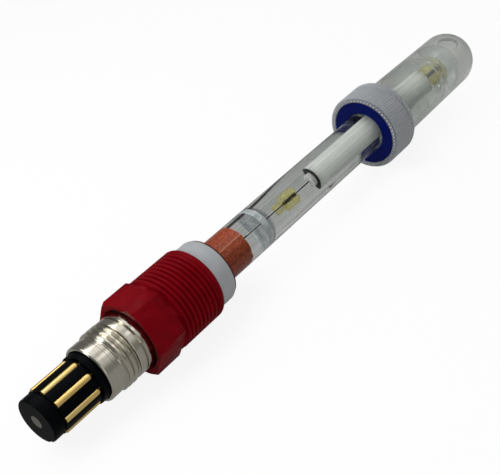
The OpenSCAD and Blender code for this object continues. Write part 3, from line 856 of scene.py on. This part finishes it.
shell = {
    "mouth": -43.3,
    "mouthEdge": 0.5,
    "land": 7.65,
    "landEnd": -40.1,
    "threadStart": -38.9,
    "threadEnd": -34.2,
    "groove": (-32.2, -31.6),
    "flats": -30.8,
    "flatCount": 12,
    "flangeEnd": -29.4,
    "flange": 8.0,
    "skirt": 7.0,
    "skirtEnd": -22.8,
    "collarBack": -31.0,
    "boss": 5.9,
    "root": 7.42,
    "crest": 8.1,
    "bore": 6.75,
    "pitch": 1.5,
    "crestWidth": 0.5,
    "rootWidth": 0.15,
}

referenceBend = {"from": 14.0, "to": 17.0}


def partOfNode(name, end=None):
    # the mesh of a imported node, or the stretch of it before a station, closed where it is cut
    part = bmesh.new()
    part.from_mesh(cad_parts[name].data)
    bmesh.ops.remove_doubles(part, verts=part.verts, dist=1e-7)
    if end is not None:
        everything = part.verts[:] + part.edges[:] + part.faces[:]
        plane = {"plane_co": (end * mm, 0, 0), "plane_no": (1, 0, 0)}
        bmesh.ops.bisect_plane(part, geom=everything, dist=1e-8, clear_outer=True, **plane)
        bmesh.ops.bridge_loops(part, edges=[edge for edge in part.edges if edge.is_boundary])
    mesh = bpy.data.meshes.new(name + "Part")
    part.to_mesh(mesh)
    part.free()
    return mesh


def joinMeshes(name, meshes, sharp):
    whole = bmesh.new()
    for mesh in meshes:
        whole.from_mesh(mesh)
    mesh = bpy.data.meshes.new(name)
    whole.to_mesh(mesh)
    whole.free()
    mesh.polygons.foreach_set("use_smooth", [True] * len(mesh.polygons))
    return closeShape(addObject(name, mesh), sharp)


def takeMesh(piece):
    mesh = piece.data
    bpy.data.objects.remove(piece)
    return mesh


def makeThread(sizes, start, end, fade, sides, material):
    rowsPerTurn = 12
    spareRows = 4  # the rows on the bore, and one more
    labels = {"Bore Radius": "bore", "Root Radius": "root", "Crest Radius": "crest", "Pitch": "pitch"}
    labels |= {"Crest Width": "crestWidth", "Root Width": "rootWidth"}
    values = {label: sizes[key] * mm for label, key in labels.items()}
    values |= {"Start": start * mm, "End": end * mm, "Fade": fade * mm}
    rows = math.ceil((end - start) / sizes["pitch"] + 1) * rowsPerTurn + spareRows
    values |= {"Rows": rows, "Sides": sides, "Rows Per Turn": rowsPerTurn, "Finish": material}
    return takeMesh(bakeTree(newPiece("threadSleeve", [(0, 0, 0)], []), helix, values))


def makeHead():
    h = head
    cut, end, root, crest, chamfer = h["cut"], h["threadEnd"], h["root"], h["crest"], h["chamfer"]
    corner = h["face"] - chamfer
    thread = makeThread(h, cut - 0.1, end, 0.5, 160, crimson)
    land = [(end - 0.2, h["bore"]), (end - 0.2, root - 0.05), (end, root), (end + 0.4, crest), (corner - 0.15, crest)]
    land += arc(corner, crest - chamfer, chamfer, 10, 80, 5)
    land += [(h["face"], crest - chamfer), (h["face"], h["bore"])]
    return joinMeshes("threadedHead", [partOfNode("gland_body", cut), thread, takeMesh(lathe("land", land))], 32)


def makeShell():
    s = shell
    edge, bevel, flange = s["mouthEdge"], 0.1, s["flange"]
    band = [(s["threadStart"], s["bore"]), (s["mouth"] + 0.2, s["bore"]), (s["mouth"], s["bore"] + 0.2)]
    band += arc(s["mouth"] + edge, s["land"] - edge, edge, -90, 0)
    band += [(s["landEnd"] - bevel, s["land"]), (s["landEnd"], s["land"] - bevel), (s["landEnd"] + bevel, s["root"])]
    band += [(s["threadStart"], s["root"])]
    grooveFront, grooveBack = s["groove"]
    ring = [(s["threadEnd"] - bevel, s["bore"]), (s["threadEnd"] - bevel, s["root"]), (s["threadEnd"], s["root"])]
    ring += arc(s["threadEnd"] + 2 * bevel, flange - 2 * bevel, 2 * bevel, -90, 0, 4)
    ring += [(grooveFront - bevel, flange), (grooveFront, flange - bevel), (grooveFront, s["root"])]
    ring += [(grooveBack, s["root"]), (grooveBack, flange - bevel), (grooveBack + bevel, flange)]
    ring += [(s["flats"] + step, flange) for step in (-bevel, 0, bevel)]
    ring += [(s["flangeEnd"] - 2 * bevel, flange), (s["flangeEnd"], flange - 2 * bevel)]
    ring += [(s["flangeEnd"], s["skirt"]), (s["skirtEnd"], s["skirt"]), (s["skirtEnd"], s["boss"])]
    ring += [(s["collarBack"], s["boss"]), (s["collarBack"], s["bore"])]
    piece = lathe("flange", ring, sides=s["flatCount"] * 12)
    sector = math.tau / s["flatCount"]
    for vert in piece.data.vertices:
        x, y, z = vert.co / mm
        if x > s["flats"] + bevel / 2 and math.hypot(y, z) > s["root"]:
            off = (math.atan2(z, y) % sector) - sector / 2
            reach = flange * math.cos(sector / 2) / math.cos(off)
            vert.co = Vector((x, y * reach / math.hypot(y, z), z * reach / math.hypot(y, z))) * mm
    thread = makeThread(s, s["threadStart"] - 0.05, s["threadEnd"] + 0.05, 0.5, 144, nickel)
    return joinMeshes("nickelShell", [takeMesh(lathe("band", band)), thread, takeMesh(piece)], 24)


def makeNut():
    n = nut
    front, back, lip = n["front"], n["back"], n["front"] + n["lip"]
    outline = [(lip, n["mouth"]), (front + 0.05, n["mouth"])]
    outline += [(front, n["mouth"] + step) for step in (0.05, 0.15, 0.3, 0.8)]
    outline += arc(front + n["lipEdge"], n["radius"] - n["lipEdge"], n["lipEdge"], -80, 0)
    line = back - n["line"]
    outline += [(line - 0.2, n["radius"]), (line, n["radius"] - 0.12), (line + 0.2, n["radius"])]
    outline = fill(outline, 0.9)
    outline += arc(back - n["edge"], n["radius"] - n["edge"], n["edge"], 0, 90)
    outline += [(back, n["bore"]), (lip, n["bore"])]
    piece = lathe("ribbedNut", outline, sides=n["ribs"] * 6, sharp=50)
    toothFrom, toothTo = (n["mouth"] + step for step in n["toothBand"])
    values = {"Rib Height": n["ribHeight"], "Rib Radius": n["radius"] - 0.05, "Front": front + 0.02}
    values |= {"Tooth Height": n["toothHeight"], "Tooth From": toothFrom, "Tooth To": toothTo}
    values = {key: value * mm for key, value in values.items()}
    values |= {"Rib Count": n["ribs"], "Tooth Count": n["teeth"], "Finish": frosted}
    return bakeTree(piece, ribTree(), values)


def makeReferenceWire():
    # behind the partition it runs along the axis, where the photo shows it come out of the crown
    mesh = partOfNode("reference_wire")
    bend = [vert for vert in mesh.vertices if referenceBend["from"] < vert.co.x / mm < referenceBend["to"]]
    middle = sum((vert.co for vert in bend), Vector()) / len(bend)
    for vert in bend:
        vert.co -= Vector((0, middle.y, middle.z))
    return joinMeshes("coatedWire", [mesh], 50)


helix = helixTree()
finishPiece(makeReferenceWire(), coat, "electrode", "coated_silver", "reference_wire")
finishPiece(makeHead(), crimson, "electrode", "crimson_plastic", "gland_body")
finishPiece(makeShell(), nickel, "electrode", "nickel_plate", "connector_shell")
finishPiece(makeNut(), frosted, "nut", "frosted_plastic", "cap_nut")
print("head, shell and nut made")

# Copper shield, rolled inside the glass with a lapped seam and an uneven front edge


def makeShield():
    random.seed(4)
    s = shield
    ripples = []
    for _ in range(s["ripples"]):
        ripples.append((random.uniform(0.2, 1.0), random.randint(2, 23), random.uniform(0, 6.3)))
    total = sum(size for size, _, _ in ripples)

    def edge(turn):
        return s["waviness"] * sum(size * math.sin(count * turn + phase) for size, count, phase in ripples) / total * 2

    span = math.tau + s["lap"]
    first = math.radians(s["seamAngle"])
    points = []
    for layer in (0, 1):
        for i in range(s["steps"] + 1):
            turn = span * i / s["steps"]
            lapped = max(0, turn - math.tau + s["tuck"]) / (s["lap"] + s["tuck"])
            radius = s["radius"] - layer * s["thickness"] - min(1, lapped * 3) * s["thickness"] * 1.2
            angle = first + turn
            for j in range(s["rows"] + 1):
                x = s["start"] + (s["end"] - s["edgeInset"] + edge(angle) - s["start"]) * j / s["rows"]
                points.append((x, -radius * math.sin(angle), radius * math.cos(angle)))
    rows, sheet = s["rows"] + 1, (s["steps"] + 1) * (s["rows"] + 1)
    faces = []
    for i in range(s["steps"]):
        for a in range(i * rows, i * rows + s["rows"]):
            faces.append((a, a + rows, a + rows + 1, a + 1))
            faces.append((sheet + a + 1, sheet + a + rows + 1, sheet + a + rows, sheet + a))
        for a in (i * rows, i * rows + s["rows"]):
            faces.append((a, a + rows, sheet + a + rows, sheet + a))
    for i in (0, s["steps"]):
        for a in range(i * rows, i * rows + s["rows"]):
            faces.append((a, a + 1, sheet + a + 1, sheet + a))
    return closeShape(newPiece("copperShield", points, faces), 40)


finishPiece(makeShield(), copper, "electrode", "copper_shield", "shield_sleeve")
print("copper shield made")

# Wetting cap: clear bottle, storage solution and its air bubble

bottle = {
    "neck": 10.6,
    "neckStart": 75.35,
    "neckBack": 82.5,
    "shoulder": 2.4,
    "outer": 9.1,
    "endRadius": 8.7,
    "endCentre": 120.5,
    "wall": 1.1,
    "mouthBore": 8.2,
    "neckBore": 7.2,
    "coneLength": 2.4,
}


def bottleInside(grow):
    # from the pole of the closed end back to the mouth
    b = bottle
    bore, radius, throat = b["neckBack"] + 1.5, b["endRadius"] - b["wall"] + grow, b["neckBore"] + grow
    wall = [(b["endCentre"], radius), (bore + 1, b["outer"] - b["wall"] + grow), (bore, throat)]
    wall = fill(wall + [(b["neckStart"] + b["coneLength"], throat)], 4)
    return [(b["endCentre"] + radius, 0)] + arc(b["endCentre"], 0, radius, 90, 0, 32)[1:] + wall[1:]


def makeBottle():
    b = bottle
    body = b["neckBack"] + b["shoulder"]
    outline = [(b["neckStart"], b["mouthBore"]), (b["neckStart"], b["neck"] - 0.2), (b["neckStart"] + 0.2, b["neck"])]
    outline += [(b["neckBack"], b["neck"])] + fill([(body, b["outer"]), (b["endCentre"], b["endRadius"])], 4)
    outline += arc(b["endCentre"], 0, b["endRadius"], 0, 90, 32)[1:-1] + [(b["endCentre"] + b["endRadius"], 0)]
    return lathe("wettingBottle", outline + bottleInside(0))


storage = {"bubbleAt": (119.4, -1.9, 5.2), "bubble": (3.5, 3.0, 1.7)}


def makeStorage():
    wet, mouth, tip = shaft["outer"] - bite, shaft["stemOuter"] - bite, shaft["bulbOuter"] - bite
    shoulderSize = shaft["throatRadius"] - bite
    outline = fill([(bottle["neckStart"] + bottle["coneLength"], wet), (shaft["throat"], wet)], 4)
    outline += shoulder(shoulderSize, 0, 90)
    outline += [(shaft["throat"] + shoulderSize, mouth), (shaft["stemEnd"], mouth)]
    outline += bulbArc(tip, mouth)[1:-1] + [(shaft["bulbCentre"] + tip, 0)]
    piece = lathe("storageSolution", outline + bottleInside(bite))
    bm = bmesh.new()
    bm.from_mesh(piece.data)
    bubble = bmesh.ops.create_icosphere(bm, subdivisions=4, radius=mm)["verts"]
    bmesh.ops.scale(bm, verts=bubble, vec=storage["bubble"])
    bmesh.ops.translate(bm, verts=bubble, vec=Vector(storage["bubbleAt"]) * mm)
    walls = list({face for vert in bubble for face in vert.link_faces})
    bmesh.ops.reverse_faces(bm, faces=walls)
    for face in walls:
        face.smooth = True
    bm.to_mesh(piece.data)
    bm.free()
    return piece


finishPiece(makeBottle(), bottlePlastic, "bottle", "clear_plastic", "cap_bottle")
finishPiece(makeStorage(), storageFill, "bottle", "clear_plastic")
print("bottle and storage solution made")

# Floor, lamps and world

studio = {
    "floorThroughGlass": 0.34,
    "floorGlow": 0.88,
    "floorBounce": "#C0C0C0",
    "worldLight": 0.48,
    "worldSeen": 0.75,
    "reflected": 0.17,
    "skyThroughGlass": 0.36,
    "windows": (
        # towards, cosine at the edge and where it is full, strength
        ((0.42, 0.12, 0.90), 0.95, 0.985, 0.52),
        ((0.42, -0.44, 0.80), 0.99, 0.998, 0.8),
        ((0.42, -0.235, 0.88), 0.6, 0.93, 0.55),
        ((0.42, -0.86, 0.28), 0.8, 0.97, 0.09),
    ),
    "lamps": (
        {"name": "overheadBox", "place": (-60, 160, 420), "aim": (20, 0, 0), "size": (420, 260), "watts": 0.96},
        {"name": "sideStrip", "place": (-330, 160, 210), "aim": (-10, 0, 0), "size": (90, 420), "watts": 0.35},
        {"name": "sideFill", "place": (-170, -380, 150), "aim": (20, 0, 0), "size": (260, 260), "watts": 0.19},
    ),
}


def pathShares(tree):
    # 1 where the camera looks straight, 1 where it looks through glass or at a reflection, and 1 where
    # it looks through glass; the second leaves out light that a dull surface gathers
    path = addNode(tree, "ShaderNodeLightPath").outputs
    clear = maths(tree, "ADD", path["Is Glossy Ray"], path["Is Transmission Ray"], clamp=True)
    direct = maths(tree, "LESS_THAN", path["Diffuse Depth"], 0.5)
    return path["Is Camera Ray"], product(tree, clear, direct), path["Is Transmission Ray"]


def makeFloor():
    # the electrode lies on its nut and on the thread of its head, so the floor slopes by under a degree
    nutAt, nutRadius, headAt, headRadius = 77.1, 11.65, -7.0, 10.2
    reach, gap = 1500, 0.05
    slope = (nutRadius - headRadius) / (nutAt - headAt)
    corners = ((-reach, -reach), (reach, -reach), (reach, reach), (-reach, reach))
    points = [(x, y, -nutRadius - gap - slope * (x - nutAt)) for x, y in corners]
    floor = newPiece("floor", points, [(0, 1, 2, 3)], smooth=False)
    # white paper sweep: matt, and lit so far that it burns out where the camera sees it
    material, tree, shader, _ = newMaterial("paleSweep", {"Roughness": 0.9, "Specular IOR Level": 0.1})
    straight, through, _ = pathShares(tree)
    paint = mix(tree, "RGBA", straight, hexColour(studio["floorBounce"]), hexColour("#FFFFFF"))
    setInputs(tree, shader, {"Base Color": paint})
    share = product(tree, maths(tree, "ADD", straight, through, clamp=True), studio["floorGlow"])
    level = mapRange(tree, straight, target=(studio["floorThroughGlass"], 1.0))
    glow = addNode(tree, "ShaderNodeEmission", inputs={"Color": (1, 1, 1, 1), "Strength": level})
    showMix(tree, share, shader.outputs["BSDF"], glow.outputs["Emission"])
    floor.data.materials.append(material)


def makeStudio(settings):
    # a dim room with four soft windows, which metal and glass reflect; an even sky and three lamps
    # light everything else
    world = bpy.data.worlds.new("studioWorld")
    scene.world = world
    world.use_nodes = True
    tree = world.node_tree
    straight, through, glass = pathShares(tree)
    sky = addNode(tree, "ShaderNodeTexCoord").outputs["Generated"]
    level = mapRange(tree, glass, target=(settings["reflected"], settings["skyThroughGlass"]))
    for towards, start, full, strength in settings["windows"]:
        aims = {0: sky, 1: Vector(towards).normalized()}
        near = addNode(tree, "ShaderNodeVectorMath", {"operation": "DOT_PRODUCT"}, aims).outputs["Value"]
        glow = mapRange(tree, near, (start, full), (0.0, strength), smooth=True)
        level = maths(tree, "ADD", level, glow)
    lit = mix(tree, "FLOAT", through, settings["worldLight"], level)
    seen = mix(tree, "FLOAT", straight, lit, settings["worldSeen"])
    setInputs(tree, tree.nodes["Background"], {"Color": (1, 1, 1, 1), "Strength": seen})
    for lamp in settings["lamps"]:
        data = bpy.data.lights.new(lamp["name"], "AREA")
        data.shape = "RECTANGLE"
        data.size, data.size_y = (side * mm for side in lamp["size"])
        data.energy = lamp["watts"]
        place = Vector(lamp["place"]) * mm
        aim = (Vector(lamp["aim"]) * mm - place).to_track_quat("-Z", "Y")
        addObject(lamp["name"], data).matrix_world = Matrix.Translation(place) @ aim.to_matrix().to_4x4()


makeFloor()
makeStudio(studio)
scene.view_settings.view_transform = "Standard"
scene.cycles.max_bounces = 48  # a look through bottle, shaft and stem crosses over twenty surfaces
scene.cycles.transmission_bounces = 48
scene.cycles.transparent_max_bounces = 48
print("studio made")
